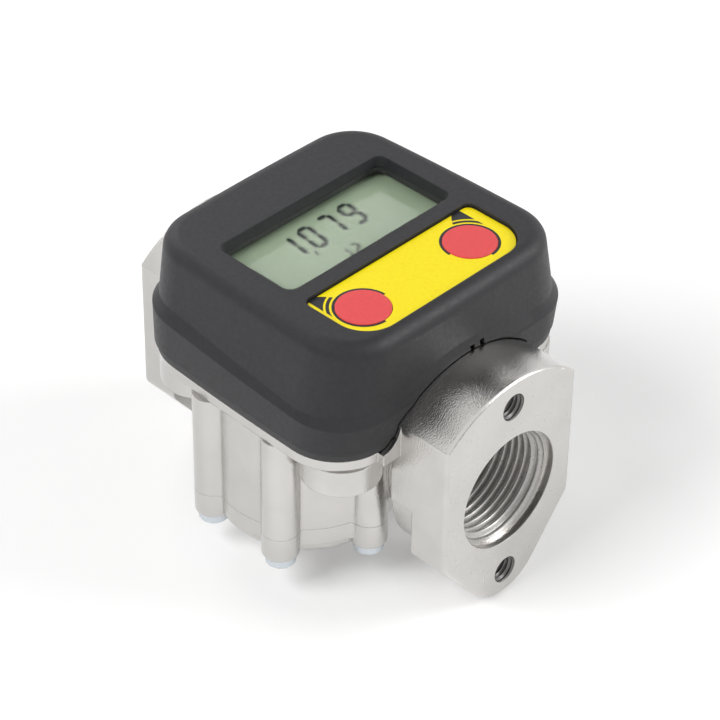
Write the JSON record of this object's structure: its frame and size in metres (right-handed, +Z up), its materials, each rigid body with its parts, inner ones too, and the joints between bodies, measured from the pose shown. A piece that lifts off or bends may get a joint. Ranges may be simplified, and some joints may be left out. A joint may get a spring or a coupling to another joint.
{
  "type": "digital fuel meter",
  "caption": "Inline digital fuel meter: cast body with two threaded flanged ports, gear chamber, and a rubber-covered head with a display and push buttons.",
  "frame": {"origin": "on the port axis, at the mouth of the front port's thread", "axes": "+Y runs through the meter from the front port to the rear port, +Z is up out of the display, +X is the reading direction of the display"},
  "size_m": [0.0934, 0.115, 0.0903],
  "materials": {
    "cast_metal": "satin nickel plate on a casting",
    "screw_steel": "zinc plated",
    "pin_steel": "ground",
    "magnet": "nickel plated",
    "contact": "plated spring brass",
    "cell_can": "plain wrapped cell",
    "seal_rubber": "matt nitrile",
    "cover_rubber": "fine-grained matt",
    "gear_plastic": "moulded",
    "bush": "carbon filled",
    "housing": "moulded, fine texture",
    "frame_plastic": "moulded",
    "lens": "clear polycarbonate",
    "lcd": "grey-green display glass",
    "strip": "layered contact strip",
    "label": "satin printed film",
    "button": "satin",
    "switch": "moulded",
    "board": "solder-masked laminate",
    "electronics": "moulded packages"
  },
  "bodies": {
    "meter": {"meter_body": "cast_metal", "bottom_cover": "cast_metal", "cover_seal": "seal_rubber", "cover_screws": "screw_steel", "gear_pins": "pin_steel", "housing_gasket": "seal_rubber", "housing_base": "housing", "housing_lid": "housing", "head_screws": "screw_steel", "rubber_cover": "cover_rubber", "window_lens": "lens", "lcd_panel": "lcd", "display_frame": "frame_plastic", "contact_strips": "strip", "keypad_label": "label", "push_switches": "switch", "circuit_board": "board", "board_standoffs": "contact", "board_parts": "electronics", "batteries": "cell_can", "battery_holder": "frame_plastic", "battery_contacts": "contact", "sensor_board": "board", "pulse_sensor": "electronics"},
    "right_gear": {"right_gear": "gear_plastic", "right_gear_bush": "bush", "gear_magnets": "magnet"},
    "left_gear": {"left_gear": "gear_plastic", "left_gear_bush": "bush"},
    "total_button": {"total_button": "button", "total_switch_plunger": "switch"},
    "reset_button": {"reset_button": "button", "reset_switch_plunger": "switch"}
  },
  "joints": [
    {"name": "right_gear_spin", "type": "hinge", "parent": "meter", "child": "right_gear", "pos_m": [0.018, 0.055, 0], "axis": [0, 0, 1], "continuous": true},
    {"name": "left_gear_spin", "type": "hinge", "parent": "meter", "child": "left_gear", "pos_m": [-0.018, 0.055, 0], "axis": [0, 0, 1], "continuous": true},
    {"name": "total_button_press", "type": "slide", "parent": "meter", "child": "total_button", "axis": [0, 0, -1], "range_m": [0, 0.0008], "stiffness_N_per_m": 600, "springref_m": -0.001},
    {"name": "reset_button_press", "type": "slide", "parent": "meter", "child": "reset_button", "axis": [0, 0, -1], "range_m": [0, 0.0008], "stiffness_N_per_m": 600, "springref_m": -0.001}
  ],
  "couplings": [
    {"joint": "left_gear_spin", "follows": "right_gear_spin", "ratio": -1}
  ]
}
